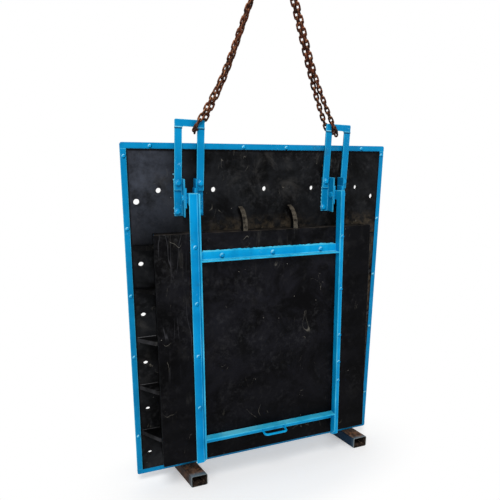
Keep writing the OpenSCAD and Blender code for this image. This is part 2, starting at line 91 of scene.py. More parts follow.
# Studs on the trim (x, z in mm), and on the flap's arms and crossbar in its own upright frame
STUD_R, STUD_H, TRIM_STUD_R, TRIM_STUD_H = 8.5 * MM, 7 * MM, 6.5 * MM, 5 * MM
TRIM_STUDS = ((-508, 1596), (-101, 1596), (104, 1596), (500, 1596), (-615, 1554), (-615, 1253),
              (-615, 955), (-615, 667), (-615, 265), (615, 1567), (615, 1251), (615, 956),
              (615, 665), (615, 272), (-440, 74), (-60, 74), (330, 74))
ARM_STUDS = ((-346, (-207, -456, -697, -944)), (360, (-196, -453, -687, -828, -927)))
CROSSBAR_STUDS = (-231, 5, 245)
STUD_SIDES = 14
# From the front of an arm back to the face with its studs and to the seam over its head, and from
# the top of a crossbar down to its studs
ARM_FACE, HEAD_SEAM, CROSSBAR_FACE = 39 * MM, 38 * MM, 20 * MM
# Bolts through the hanger legs and the bracket flanges, from each hanger's foot, with their
# washers, and the thickness of a leg
BOLT_R, BOLT_H, LEG_T = 11 * MM, 8 * MM, 10 * MM
WASHER_R, WASHER_T = 1.28 * BOLT_R, 2.4 * MM
BOLTS = ((-48, 31), (48, 31), (-49, -93), (49, -93))

# Welds: radius of a bead, height of the seams above a hanger's foot with their ends across it, and
# the dark beads just below and behind them, painted shadow under the seams
WELD_R, HEAD_WELD_R = 2.6 * MM, 1.8 * MM
SEAM_Z, SEAM_ENDS = 262 * MM, ((-62, -33), (33, 62))
SHADOW_DROP, SHADOW_SUNK = 5 * MM, 1 * MM
# Weld spots along the outer edges of the bracket flanges, and the length of one (z in mm)
SPOTS = {-1: (1479, 1456, 1334, 1312), 1: (1412, 1398, 1380, 1362, 1343, 1321)}
SPOT_LONG = 4

# Outer corners of the frame, as cuts on a circle of this radius
CORNER_R, CORNER_CUTS = 10 * MM, (15, 45, 75)
# Rubber: tops of the lower gussets (z in mm), the rolls along them, and the height in metres up to
# which their fronts are worn
GUSSET_TOPS, COVE_R, WORN_TOP = (296, 528, 760), 2.4 * MM, 0.86
# Torn lips: their thickness, the space left at a crossbar's ends, the run beside the right arm in
# the flap's upright frame, and the length of one tear
LIP_T, LIP_INSET, ARM_LIP, TEAR = 2 * MM, 12 * MM, (-0.98, -0.38), 7 * MM
# Largest face of an anchor hole's wall, in square metres
BORE_FACE = 1e-4
# Edges sharper than this are eased, and shading is smooth below this (degrees)
EASED_FROM, SMOOTH_TO = 40, 50
# In a traced node, points this near are merged, and so are faces this flat to one another (degrees)
MERGED, FLAT = 0.01 * MM, 0.5

# Studio: floor, world and lamps, and the camera's place, angles in degrees and lens in mm
FLOOR_WIDTH, FLOOR_SCALE = 80, (1, 0.4, 1)
FLOOR_TONE, FLOOR_LIFT, FLOOR_FADE = 0.86, 0.3, (0.55, 1.0)
WORLD_LEVEL = 0.42
LAMPS = (("key", (-1.2, -3.0, 4.6), 1.6, 136), ("fill", (2.8, -2.6, 2.2), 2.4, 20))
LAMP_TARGET = (0, 0, 0.9)
CAMERA_PLACE, CAMERA_LENS, SENSOR_WIDTH = (-0.698, -1.814, 1.554), 30.97, 36
CAMERA_YAW, CAMERA_PITCH, CAMERA_ROLL = 18.67, 12.21, 0.40


# ---- Node materials ----

SPECULAR = "Specular IOR Level"


class Value:
    """A node socket that takes part in arithmetic."""

    def __init__(self, finish, socket):
        self.finish, self.socket = finish, socket

    def math(self, kind, first, second):
        """One step of arithmetic on values or plain numbers."""
        return self.finish.node("ShaderNodeMath", {"operation": kind}, {0: first, 1: second})

    def __add__(self, other):
        return self.math("ADD", self, other)

    def __sub__(self, other):
        return self.math("SUBTRACT", self, other)

    def __rsub__(self, other):
        return self.math("SUBTRACT", other, self)

    def __mul__(self, other):
        return self.math("MULTIPLY", self, other)

    def __gt__(self, level):
        return self.math("GREATER_THAN", self, level)

    def __abs__(self):
        return self.math("ABSOLUTE", self, 0)

    def max(self, other):
        return self.math("MAXIMUM", self, other)

    __radd__, __rmul__ = __add__, __mul__


class Finish:
    """A material under construction, with its patterns on object coordinates."""

    def __init__(self, name):
        self.material = bpy.data.materials.new(name)
        self.material.use_nodes = True
        self.tree = self.material.node_tree
        self.tree.nodes.clear()
        self.place = self.node("ShaderNodeTexCoord", {}, {}, "Object")
        self.facing = self.node("ShaderNodeTexCoord", {}, {}, "Normal")

    def node(self, kind, settings, inputs, output=0):
        """Makes a node, its settings first, and gives one of its outputs."""
        made = self.tree.nodes.new(kind)
        for key, value in settings.items():
            setattr(made, key, value)
        for key, value in inputs.items():
            if isinstance(value, Value):
                self.tree.links.new(value.socket, made.inputs[key])
            else:
                made.inputs[key].default_value = value
        return Value(self, made.outputs[output])

    def stretched(self, scale, turn=0.0, move=0.0):
        """Object coordinates scaled, turned about the depth axis and shifted."""
        settings = {"Scale": scale, "Rotation": (0, turn, 0), "Location": (move, move, move)}
        return self.node("ShaderNodeMapping", {}, {"Vector": self.place, **settings})

    def moved(self, move):
        """Object coordinates shifted, so that a second pattern doesn't repeat the first."""
        return self.stretched((1, 1, 1), 0, move)

    def noise(self, scale, detail=4.0, rough=0.55, where=None, warp=0.0):
        """Cloudy pattern between 0 and 1."""
        sockets = {"Vector": where or self.place, "Scale": scale, "Detail": detail,
                   "Roughness": rough, "Distortion": warp}
        return self.node("ShaderNodeTexNoise", {}, sockets)

    def ramp(self, value, low, high):
        """0 below low, 1 above high, smooth between them."""
        sockets = {0: value, 1: low, 2: high, 3: 0.0, 4: 1.0}
        return self.node("ShaderNodeMapRange", {"interpolation_type": "SMOOTHSTEP"}, sockets)

    def ridge(self, scale, width, where=None, warp=0.0, detail=1.0):
        """Thin curved lines, where a noise crosses its middle."""
        line = abs(self.noise(scale, detail, 0.4, where, warp) - 0.5)
        return 1 - self.ramp(line, 0.0, width)

    def specks(self, scale, size, where=None):
        """Small dots, one in every few cells."""
        cells = {"Vector": where or self.place, "Scale": scale}
        distance = self.node("ShaderNodeTexVoronoi", {}, cells, "Distance")
        chance = self.node("ShaderNodeTexVoronoi", {}, cells, "Color")
        rare = self.node("ShaderNodeSeparateColor", {}, {0: chance}) > 0.6
        return (1 - self.ramp(distance, size * 0.5, size)) * rare

    def mix(self, amount, first, second):
        """The first colour, going over to the second as the amount goes from 0 to 1."""
        settings = {"data_type": "RGBA"}
        return self.node("ShaderNodeMix", settings, {0: amount, 6: first, 7: second}, 2)

    def part(self, vector, axis):
        """The X (0), Y (1) or Z (2) part of a vector."""
        return self.node("ShaderNodeSeparateXYZ", {}, {0: vector}, axis)

    def finish(self, color, roughness, height, depth, specular, metallic=0.0):
        """Ends the material with one shader and a bump of the given depth."""
        bump = {"Height": height, "Distance": depth, "Strength": 1.0}
        sockets = {"Base Color": color, "Roughness": roughness, SPECULAR: specular,
                   "Metallic": metallic, "Normal": self.node("ShaderNodeBump", {}, bump)}
        shader = self.node("ShaderNodeBsdfPrincipled", {}, sockets)
        end = self.tree.nodes.new("ShaderNodeOutputMaterial")
        self.tree.links.new(shader.socket, end.inputs[0])
        return self.material


def rgb(red, green, blue):
    """Linear colour of the given display levels, 0 to 255."""
    def linear(level):
        level /= 255
        return level / 12.92 if level < 0.04045 else ((level + 0.055) / 1.055) ** 2.4
    return (linear(red), linear(green), linear(blue), 1.0)


def blue_paint(name, deep, light):
    """Bright blue brush paint, with thin spots, grime and a few rusty chips."""
    f = Finish(name)
    blotch = f.ramp(f.noise(9, 5), 0.35, 0.7)
    streak = f.noise(30, 3, 0.5, f.stretched((1.0, 1.0, 0.12)))
    color = f.mix(blotch, rgb(*deep), rgb(*light))
    color = f.mix(f.ramp(streak, 0.5, 0.8) * 0.35, color, rgb(0, 100, 150))
    grime = f.ramp(f.noise(16, 7, 0.62), 0.56, 0.74) * f.ramp(f.noise(3.5, 2), 0.42, 0.7)
    color = f.mix(grime * 0.5, color, rgb(44, 74, 88))
    scuff = f.ramp(f.noise(140, 3), 0.60, 0.68) * f.ramp(f.noise(7, 3), 0.55, 0.68)
    color = f.mix(scuff * 0.55, color, rgb(120, 196, 228))
    chip = f.ramp(f.noise(190, 4, 0.6), 0.685, 0.70) * f.ramp(f.noise(12, 2), 0.56, 0.62)
    color = f.mix(chip, color, rgb(74, 44, 32))
    rough = 0.34 + 0.14 * streak + 0.3 * grime + 0.35 * chip
    height = f.noise(420, 3) * 0.25 + streak * 0.5 - chip * 0.6
    return f.finish(color, rough, height, 0.0006, 0.06)


def back_paint():
    """Flat blue-black primer on the steel behind the lining, dusty."""
    f = Finish("back_paint")
    blotch = f.ramp(f.noise(5, 6), 0.35, 0.72)
    color = f.mix(blotch, rgb(0, 96, 150), rgb(8, 122, 184))
    dust = f.ramp(f.noise(2.2, 8, 0.66), 0.45, 0.75)
    color = f.mix(dust * 0.45, color, rgb(86, 100, 104))
    rust = f.ramp(f.noise(28, 7, 0.66), 0.63, 0.69) * f.ramp(f.noise(3.1, 3), 0.48, 0.62)
    color = f.mix(rust, color, rgb(92, 50, 30))
    scratch = f.ridge(5, 0.006, warp=0.6) * f.ramp(f.noise(6, 2), 0.5, 0.65)
    color = f.mix(scratch * 0.6, color, rgb(132, 156, 166))
    rough = 0.5 + 0.25 * dust + 0.2 * rust
    return f.finish(color, rough, f.noise(260, 4) * 0.5 + rust, 0.0007, 0.28)


def rubber(name, tone, dust, scratch, settled, extra=None):
    """Black sheet rubber, cloudy and grained, with smears, fine scuffs and pale specks.

    The three shares are of loose dust, of scratches and of dust settled on its upper faces.
    """
    f = Finish(name)
    dark, pale = (rgb(*(share * part for part in tone)) for share in (0.3, 1.25))
    color = f.mix(f.ramp(f.noise(5, 9, 0.7, warp=0.5), 0.38, 0.64), dark, pale)
    grain = f.ramp(f.noise(46, 8, 0.72), 0.46, 0.7) * f.ramp(f.noise(8, 5), 0.4, 0.62)
    color = f.mix(grain * 0.3, color, rgb(66, 66, 68))
    film = f.ramp(f.noise(9, 9, 0.7, warp=0.8), 0.5, 0.72) * f.ramp(f.noise(2.3, 3), 0.42, 0.62)
    color = f.mix(film * dust, color, rgb(72, 70, 68))
    smear = f.ramp(f.noise(34, 6, 0.66, f.stretched((1.0, 1.0, 0.22), 0.12)), 0.54, 0.72)
    smear = smear * f.ramp(f.noise(4.1, 3, where=f.moved(5.1)), 0.52, 0.64)
    color = f.mix(smear * dust, color, rgb(90, 88, 84))
    up = f.ramp(f.part(f.facing, 2), 0.55, 0.95) * f.ramp(f.noise(16, 6), 0.36, 0.66)
    color = f.mix(up * settled, color, rgb(70, 63, 55))
    if extra:
        color = extra(f, color)
    arcs = f.ridge(7.0, 0.004, f.stretched((1.4, 1.0, 0.8), -0.5, 3.7), 0.7)
    arcs = arcs * f.ramp(f.noise(9.5, 2, where=f.moved(7.3)), 0.60, 0.66)
    hairs = f.ridge(19, 0.008, f.stretched((1.6, 1.0, 0.5), 0.5, 1.3), 0.4)
    hairs = hairs * f.ramp(f.noise(11, 2, where=f.moved(9.7)), 0.64, 0.68)
    lines = arcs.max(hairs)
    color = f.mix(lines * scratch, color, rgb(128, 124, 114))
    speck = f.specks(26, 0.045).max(f.specks(9, 0.014, f.moved(2.2)))
    color = f.mix(speck * 0.8, color, rgb(160, 156, 146))
    rough = 0.5 + 0.2 * film + 0.2 * grain
    height = f.noise(320, 4) * 0.12 + f.noise(14, 3) * 1.6 + lines * 0.25 + grain * 0.3
    return f.finish(color, rough, height, 0.0012, 0.03)


def wall_dust(f, color):
    """Painted bluish sheen at the upper left, brown dust over the flap's ledge, painted shadow beside the steel.
    """
    across, up = f.part(f.place, 0), f.part(f.place, 2)
    # A bluish sheen at the upper left: a painted reflection
    painted_sheen = f.ramp(across * -1, 0.30, 0.56) * f.ramp(up, 1.1, 1.45)
    painted_sheen = painted_sheen * f.ramp(f.noise(7, 7, 0.66), 0.3, 0.6)
    color = f.mix(painted_sheen * 0.75, color, rgb(66, 70, 80))
    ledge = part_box("flap_slab")[1].z
    near = 1 - f.ramp(up, ledge, ledge + 70 * MM)
    near = near * (1 - f.ramp(abs(across + 0.03), 0.1, 0.34)).max(f.ramp(across, 0.4, 0.44))
    color = f.mix(near * f.ramp(f.noise(21, 7, 0.7), 0.4, 0.62) * 0.55, color, rgb(84, 74, 60))
    # A near-black band beside the edge angles: painted shadow
    side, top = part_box("trim_left")[1].x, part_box("trim_left")[1].z
    rim = f.ramp(abs(across), -side - 9 * MM, -side).max(f.ramp(up, top - 34 * MM, top - 25 * MM))
    return f.mix(rim * 0.9, color, rgb(4, 4, 5))


def damp_foot(f, color):
    """Darkens the flap's rubber towards its foot and its right edge."""
    low = 1 - f.ramp(f.part(f.place, 2), 0.25, 1.15)
    right = f.ramp(f.part(f.place, 0), 0.36, 0.42)
    return f.mix(low.max(right) * 0.55, color, rgb(4, 4, 5))


def dried_drips(f, color):
    """Thin drips down the left of the slab, above its darker foot."""
    color = damp_foot(f, color)
    drips = f.ridge(10, 0.012, f.stretched((1.5, 1.0, 0.14), 0.05, 4.4), 0.5, 2)
    drips = drips * f.ramp(f.noise(6, 4, where=f.moved(6.1)), 0.46, 0.6)
    drips = drips * f.ramp(f.part(f.place, 2), 0.5, 0.8) * (1 - f.ramp(f.part(f.place, 0), -0.4, 0))
    return f.mix(drips * 0.4, color, rgb(76, 76, 80))


def horn_dust(f, color):
    """Dust on the curved back of a horn, its sides left dark."""
    back = 1 - f.ramp(abs(f.part(f.facing, 0)), 0.3, 0.8)
    return f.mix(back * f.ramp(f.noise(60, 5), 0.3, 0.6) * 0.8, color, rgb(88, 82, 72))


def rusty_steel(name, dark, warm, bright, bump_scale):
    """Bare steel rusted all over, with a painted highlight on faces turned up and to the left."""
    f = Finish(name)
    patch = f.ramp(f.noise(38, 6, 0.62), 0.4, 0.66)
    color = f.mix(patch, rgb(*dark), rgb(*warm))
    bloom = f.ramp(f.noise(120, 5, 0.6), 0.56, 0.72)
    # Faces turned up and to the left take the bright colour: a painted highlight
    lean = 0.6 * f.part(f.facing, 2) - 0.6 * f.part(f.facing, 1) - 0.4 * f.part(f.facing, 0)
    wear_and_highlight = f.ramp(lean, 0.6, 0.92) * f.ramp(f.noise(70, 4), 0.36, 0.6)
    color = f.mix(bloom.max(wear_and_highlight) * 0.8, color, rgb(*bright))
    height = f.noise(bump_scale, 5, 0.6) + 0.5 * bloom
    return f.finish(color, 0.72 + 0.2 * patch, height, 0.0008, 0.14, 0.1)


def bearer_steel():
    """Rusty hollow section with a slate-blue band at its front end and dark sides."""
    f = Finish("bearer_steel")
    grain = f.noise(34, 7, 0.62)
    color = f.mix(f.ramp(grain, 0.38, 0.66), rgb(84, 66, 56), rgb(150, 118, 96))
    color = f.mix(f.ramp(f.noise(60, 5), 0.54, 0.68) * 0.7, color, rgb(186, 122, 80))
    side = f.ramp(f.part(f.facing, 0) * -1, 0.4, 0.8)
    color = f.mix(side * 0.8, color, rgb(36, 30, 29))
    color = f.mix(side * f.ramp(f.part(f.place, 0), 0, 0.1) * 0.9, color, rgb(6, 40, 62))
    front = 1 - f.ramp(f.part(f.place, 1) + 0.02 * f.noise(40, 4), -30 * MM, -5 * MM)
    spray = front * f.ramp(f.noise(22, 4), 0.2, 0.5) * (1 - side * 0.6)
    color = f.mix(spray * 0.85, color, rgb(104, 128, 142))
    height = f.noise(300, 5, 0.6) + 0.6 * grain
    return f.finish(color, 0.62 + 0.2 * grain, height, 0.0007, 0.1)


FINISHES = {
    "blue": blue_paint("blue_paint", (0, 137, 195), (2, 155, 213)),
    "bright": blue_paint("blue_bright", (2, 152, 208), (10, 170, 224)),
    "trim": blue_paint("blue_trim", (0, 120, 172), (2, 134, 188)),
    "shade": blue_paint("blue_shade", (0, 54, 90), (0, 72, 112)),
    "glint": blue_paint("blue_glint", (104, 200, 232), (156, 224, 244)),
    # Lighter blue for eased steel edges, crossbar tops and torn lips: a painted highlight
    "edge": blue_paint("blue_edge_highlight", (40, 172, 212), (96, 204, 232)),
    "seam": blue_paint("blue_seam", (66, 160, 196), (128, 200, 220)),
    "back": back_paint(),
    "lining": rubber("rubber_lining", (22, 23, 25), 0.42, 0.5, 0.3, wall_dust),
    "wall": rubber("rubber_wall", (14, 14, 15), 0.3, 0.3, 0.3),
    "gusset": rubber("rubber_gusset", (11, 11, 12), 0.2, 0.2, 0.0),
    "wear_and_highlight": rubber("rubber_worn", (40, 40, 42), 0.4, 0.2, 0.2),
    # Light grey rubber for the rolls at the gussets' tops: a painted highlight
    "cove": rubber("rubber_cove_highlight", (74, 74, 76), 0.3, 0.2, 0.2),
    "flap": rubber("rubber_flap", (16, 16, 19), 0.2, 0.5, 0.5, dried_drips),
    "panel": rubber("rubber_panel", (20, 20, 24), 0.12, 0.4, 0.3, damp_foot),
    # Near-black for the walls of the anchor holes: painted shade
    "bore": rubber("rubber_bore_shade", (8, 8, 9), 0.0, 0.0, 0.0),
    "seal": rubber("rubber_seal", (22, 22, 23), 0.2, 0.2, 0.2),
    "horn": rubber("rubber_horn", (15, 14, 14), 0.3, 0.3, 0.3, horn_dust),
    "bearer": bearer_steel(),
    "hollow": rusty_steel("hollow_rust", (16, 12, 11), (66, 53, 44), (124, 104, 86), 300),
    # Pale grey for the front end face of a bearer: a painted highlight
    "rim": rusty_steel("rim_painted_highlight", (110, 116, 116), (150, 156, 154), (170, 170, 160), 300),
    # Darker rust for the loose links under the bar: dark rust, partly painted shade
    "dark_rust_and_shade": rusty_steel("bunch_rust_and_shade", (16, 9, 7), (46, 25, 18), (104, 66, 48), 420),
    "chain": rusty_steel("chain_rust", (30, 14, 9), (88, 42, 26), (196, 134, 94), 420),
}
# Record slot of each finish that isn't rubber
SLOTS = {"back": "back_paint", "bearer": "bearer_steel",
         **dict.fromkeys(("chain", "dark_rust_and_shade"), "chain_steel"),
         **dict.fromkeys(("blue", "bright", "trim", "shade", "glint", "edge", "seam"),
                         "blue_paint")}


# ---- Modelling ----

def pick(*objects):
    """Selects only these objects, the first one active."""
    bpy.ops.object.select_all(action="DESELECT")
    for obj in objects:
        obj.select_set(True)
    bpy.context.view_layer.objects.active = objects[0]


@contextmanager
def editing(obj, mode="FACE"):
    """Edit mode on an object, in one select mode, with nothing selected."""
    pick(obj)
    bpy.ops.object.mode_set(mode="EDIT")
    bpy.ops.mesh.select_mode(type=mode)
    bpy.ops.mesh.select_all(action="DESELECT")
    yield
    bpy.ops.object.mode_set(mode="OBJECT")


def select(obj, test):
    """Selects the elements of the current select mode that pass the test."""
    mesh = bmesh.from_edit_mesh(obj.data)
    _, edges, faces = bpy.context.tool_settings.mesh_select_mode
    bpy.ops.mesh.select_all(action="DESELECT")
    for element in mesh.faces if faces else mesh.edges if edges else mesh.verts:
        element.select_set(bool(test(element)))
    bmesh.update_edit_mesh(obj.data)


def modify(obj, kind, **settings):
    """Adds a modifier and applies it."""
    pick(obj)
    modifier = obj.modifiers.new(kind, kind)
    for key, value in settings.items():
        setattr(modifier, key, value)
    bpy.ops.object.modifier_apply(modifier=modifier.name)


def bevel(obj, width, angle, segments=2, **settings):
    """Rounds the edges of an object that are sharper than an angle in degrees."""
    modify(obj, "BEVEL", width=width, segments=segments, limit_method="ANGLE",
           angle_limit=math.radians(angle), **settings)


def assign(obj, slot, test):
    """Puts the faces that pass the test in a material slot."""
    with editing(obj):
        select(obj, test)
        obj.active_material_index = slot
        bpy.ops.object.material_slot_assign()


def add_finish(obj, finish, test):
    """Adds one more finish to an object, for the faces that pass the test."""
    obj.data.materials.append(FINISHES[finish])
    assign(obj, len(obj.data.materials) - 1, test)


def paint(obj, *finishes):
    """Gives an object these finishes as its material slots."""
    obj.data.materials.clear()
    for finish in finishes:
        obj.data.materials.append(FINISHES[finish])


def added(name, data):
    """A new object in the scene."""
    obj = bpy.data.objects.new(name, data)
    bpy.context.scene.collection.objects.link(obj)
    return obj


def placed(obj, place=UPRIGHT):
    """Moves an object's place into its mesh, so that the object sits at the origin."""
    obj.data.transform(place @ obj.matrix_basis)
    obj.matrix_basis = Matrix.Identity(4)
    return obj


def settle(obj, name, body, finish, place=UPRIGHT, replaces=(), smooth=30):
    """Puts a finished mesh in the frame: its place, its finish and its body."""
    obj.name = obj.data.name = name
    placed(obj, place)
    if FINISHES[finish].name not in obj.data.materials:
        paint(obj, finish)
    if smooth:
        pick(obj)
        bpy.ops.object.shade_smooth_by_angle(angle=math.radians(smooth))
    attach(obj, body)
    if replaces:
        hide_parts(*replaces)
    return obj


def body_of(node):
    """Body that a CAD node moves with."""
    bodies = frame["record"]["behaviour"]["bodies"]
    return next(body for body, nodes in bodies.items() if node in nodes)


def bounds_of(mesh, place=UPRIGHT):
    """Lowest and highest corner of a mesh, in the frame of a place."""
    back = place.inverted()
    corners = [back @ v.co for v in mesh.vertices]
    return (Vector([min(c[i] for c in corners) for i in range(3)]),
            Vector([max(c[i] for c in corners) for i in range(3)]))


def node_box(node, place=UPRIGHT):
    """Lowest and highest corner of a CAD node, upright or in the leaned flap's own frame."""
    return bounds_of(frame["nodes"][node].data, place)


def traced(node):
    """A clean copy of a CAD node's mesh, to be finished as a piece."""
    obj = added(node + "_finished", frame["nodes"][node].data.copy())
    with editing(obj):
        bpy.ops.mesh.select_all(action="SELECT")
        bpy.ops.mesh.remove_doubles(threshold=MERGED)
        bpy.ops.mesh.dissolve_limited(angle_limit=math.radians(FLAT))
    return obj


def eased(node, finish, width, segments=2, edge=None, corners=False):
    """A CAD node with its edges eased, in its finish, the edges in a finish of their own."""
    obj = traced(node)
    if corners:
        rounded_corners(obj)
    paint(obj, finish, edge or finish)
    bevel(obj, width, EASED_FROM, segments, miter_outer="MITER_ARC", material=1)
    pick(obj)
    bpy.ops.object.shade_smooth_by_angle(angle=math.radians(SMOOTH_TO))
    modify(obj, "WEIGHTED_NORMAL", keep_sharp=True, weight=60)
    return settle(obj, node + "_finished", body_of(node), finish, replaces=[node], smooth=0)


def hollow(obj):
    """Gives the inside of a hollow section its own dark rust, and its front end a pale rim as a painted highlight.
    """
    low, high = bounds_of(obj.data)
    middle = (low + high) / 2
    along = Matrix.Rotation(BEARER_SKEW, 3, "Z") @ Y_AXIS
    add_finish(obj, "hollow", lambda f: inward(f, middle, along))
    add_finish(obj, "rim", lambda f: f.normal.dot(along) < -0.9)


def inward(face, middle, along):
    """Whether a face of a hollow section looks at the section's axis."""
    offset = face.calc_center_median() - middle
    offset -= along * offset.dot(along)
    return offset.dot(face.normal) < -1 * MM


def rounded_corners(obj):
    """Cuts the frame's outer corners round, seen from the front."""
    side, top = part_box("trim_top")[1].x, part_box("trim_top")[1].z
    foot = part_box("trim_bottom")[0].z
    for x in (-1, 1):
        for z, level in ((1, top), (-1, foot)):
            middle = Vector((x * (side - CORNER_R), 0, level - z * CORNER_R))
            for angle in CORNER_CUTS:
                turn = math.radians(angle)
                out = Vector((x * math.cos(turn), 0, z * math.sin(turn)))
                with editing(obj):
                    bpy.ops.mesh.select_all(action="SELECT")
                    bpy.ops.mesh.bisect(plane_co=middle + out * CORNER_R, plane_no=out,
                                        use_fill=True, clear_outer=True)


def dress(node, finish):
    """Gives a CAD node that stays its finish."""
    mesh = frame["nodes"][node].data
    for index in range(len(mesh.materials)):
        mesh.materials[index] = FINISHES[finish]


def drilled(node, finish, bore):
    """A pierced CAD sheet with rounded outer corners, whose anchor holes are dark inside as painted shade."""
    obj = traced(node)
    rounded_corners(obj)
    paint(obj, finish, bore)
    assign(obj, 1, lambda f: abs(f.normal.y) < 0.5 and f.calc_area() < BORE_FACE)
    return settle(obj, node + "_finished", body_of(node), finish, replaces=[node])


def joined(objects):
    """One object made of several."""
    pick(*objects)
    if len(objects) > 1:
        bpy.ops.object.join()
    return bpy.context.view_layer.objects.active


def copies(model, places):
    """One mesh of copies of a model, one at each place; the model is used up."""
    made = []
    for place in places:
        mesh = model.data.copy()
        mesh.transform(place)
        made.append(added(model.name, mesh))
    bpy.data.objects.remove(model)
    return joined(made)


def facing_front(x, y, z, turn=0.0):
    """Place of a model whose top faces the front, at a point."""
    return (Matrix.Translation((x, y, z)) @ Matrix.Rotation(math.radians(90), 4, "X")
            @ Matrix.Rotation(turn, 4, "Z"))


def lit(obj):
    """Small blue piece with a painted highlight on its upper left slopes and painted shade on its lower right
    ones.
    """
    paint(obj, "blue", "glint", "shade")
    assign(obj, 1, lambda f: f.normal.z > 0.1 and f.normal.y - f.normal.x > 0.4)
    assign(obj, 2, lambda f: f.normal.z < 0.85 and f.normal.x - f.normal.y > 0.2)
    return obj


def stud(radius=STUD_R, height=STUD_H):
    """Button head with a collar of paint and weld round its foot, foot on the XY plane."""
    bpy.ops.mesh.primitive_cylinder_add(vertices=STUD_SIDES, radius=radius, depth=height,
                                        location=(0, 0, height / 2))
    obj = placed(bpy.context.active_object)
    with editing(obj):
        select(obj, lambda f: f.normal.z > 0.9)
        bpy.ops.mesh.inset(thickness=radius * 0.28)
        bpy.ops.transform.translate(value=(0, 0, height * 0.22))
        select(obj, lambda f: f.normal.z < -0.9)
        bpy.ops.transform.resize(value=(1.35, 1.35, 1))
    bevel(obj, height * 0.2, 25)
    return lit(obj)


def bolt():
    """Hexagon bolt head on a washer, foot on the XY plane."""
    bpy.ops.mesh.primitive_cylinder_add(vertices=6, radius=BOLT_R, depth=BOLT_H,
                                        location=(0, 0, BOLT_H / 2 + 2 * MM))
    head = bpy.context.active_object
    bevel(head, 1.6 * MM, EASED_FROM)
    bpy.ops.mesh.primitive_cylinder_add(vertices=24, radius=WASHER_R, depth=WASHER_T,
                                        location=(0, 0, WASHER_T / 2))
    washer = bpy.context.active_object
    bevel(washer, 0.6 * MM, EASED_FROM)
    return lit(joined([placed(head), placed(washer)]))


def bead(start, end, radius, seed):
    """Ripple bead of weld from one point to another."""
    start, end = Vector(start), Vector(end)
    pitch = radius * 0.85
    count = max(2, int((end - start).length / pitch) + 1)
    along = (end - start).normalized()
    bpy.ops.mesh.primitive_uv_sphere_add(segments=8, ring_count=5, radius=radius, location=start)
    obj = placed(bpy.context.active_object)
    modify(obj, "ARRAY", count=count, use_relative_offset=False, use_constant_offset=True,
           constant_offset_displace=along * pitch)
    with editing(obj, "VERT"):
        bpy.ops.mesh.select_all(action="SELECT")
        bpy.ops.transform.vertex_random(offset=radius * 0.16, seed=seed)
    return obj


def beads(name, body, finish, runs, place=UPRIGHT, radius=WELD_R):
    """One piece of beads, one bead for each pair of ends."""
    made = [bead(a, b, radius, seed) for seed, (a, b) in enumerate(runs)]
    return settle(joined(made), name, body, finish, place, smooth=60)


def lip(start, end, across, out, width, thickness, seed):
    """Torn edge of sheet rubber along a seam: one side straight, the other ragged."""
    start, end, across, out = (Vector(v) for v in (start, end, across, out))
    length = (end - start).length
    steps = int(length / TEAR) + 1
    bpy.ops.mesh.primitive_grid_add(x_subdivisions=steps, y_subdivisions=3, size=1)
    obj = bpy.context.active_object
    obj.data.transform(Matrix.Diagonal((length, width, 1, 1)))
    obj.data.transform(Matrix.Translation((length / 2, width / 2, 0)))
    with editing(obj, "VERT"):
        select(obj, lambda v: v.co.y > width * 0.9)
        bpy.ops.transform.vertex_random(offset=width * 0.75, uniform=1.0, seed=seed)
        bpy.ops.transform.resize(value=(1, 1, 0.15), center_override=(0, 0, 0))
        bpy.ops.mesh.vertices_smooth(factor=0.35, repeat=1)
    modify(obj, "SOLIDIFY", thickness=thickness, offset=1)
    bevel(obj, thickness * 0.3, 60)
    along = (end - start).normalized()
    turn = Matrix((along, across, out)).transposed().to_4x4()
    obj.data.transform(Matrix.Translation(start) @ turn)
    with editing(obj):
        bpy.ops.mesh.select_all(action="SELECT")
        bpy.ops.mesh.normals_make_consistent(inside=False)
    return obj


# ---- Steel and rubber that keep the frame's shapes ----

# Steel of each side, in the order it is made: name, finish and width of its eased edges in mm
SIDE_STEEL = (("hanger_{}", "trim", 1.6), ("arm_{}", "blue", 1.8), ("hinge_lug_{}", "blue", 1.2),
              ("bearing_plates_{}", "blue", 1.0), ("hinge_pin_{}", "blue", 1.0),
              ("bracket_{}_inner", "trim", 1.5), ("bracket_{}_outer", "trim", 1.5))


def steelwork():
    """Hangers, hinges, arms, bearers, edge angles, crossbars and handle."""
    # The eased edges of this steel take the lighter edge blue, a painted highlight
    for side in ("left", "right"):
        for name, finish, width in SIDE_STEEL:
            eased(name.format(side), finish, width * MM, edge="edge")
        hollow(eased("bearer_" + side, "bearer", 0.8 * MM))
    for edge in ("top", "bottom", "left", "right"):
        eased("trim_" + edge, "trim", 1.6 * MM, edge="edge", corners=True)
    for place in ("top", "bottom"):
        bar = eased("crossbar_" + place, "bright", 1.7 * MM, edge="edge")
        # The crossbars' upward faces take the lighter blue too: painted light from above
        assign(bar, 1, lambda f: f.normal.z > 0.8)
    eased("handle", "bright", 0.6 * MM)


def worn_fronts(obj):
    """Rubs the front of the lower gussets grey."""
    add_finish(obj, "wear_and_highlight", lambda f: f.normal.y < -0.3 and f.calc_center_median().z < WORN_TOP)


def gusset_coves():
    """Thin rolls of rubber where the tops of the lower gussets meet the lining, light grey as a painted highlight.
    """
    low, high = node_box("gussets_right")
    runs = []
    for z in GUSSET_TOPS:
        for side in (-1, 1):
            ends = (low.x + COVE_R, high.x - COVE_R)
            runs.append([(side * x, high.y - COVE_R / 2, z * MM) for x in ends])
    beads("gusset_coves", "frame", "cove", runs, radius=COVE_R)


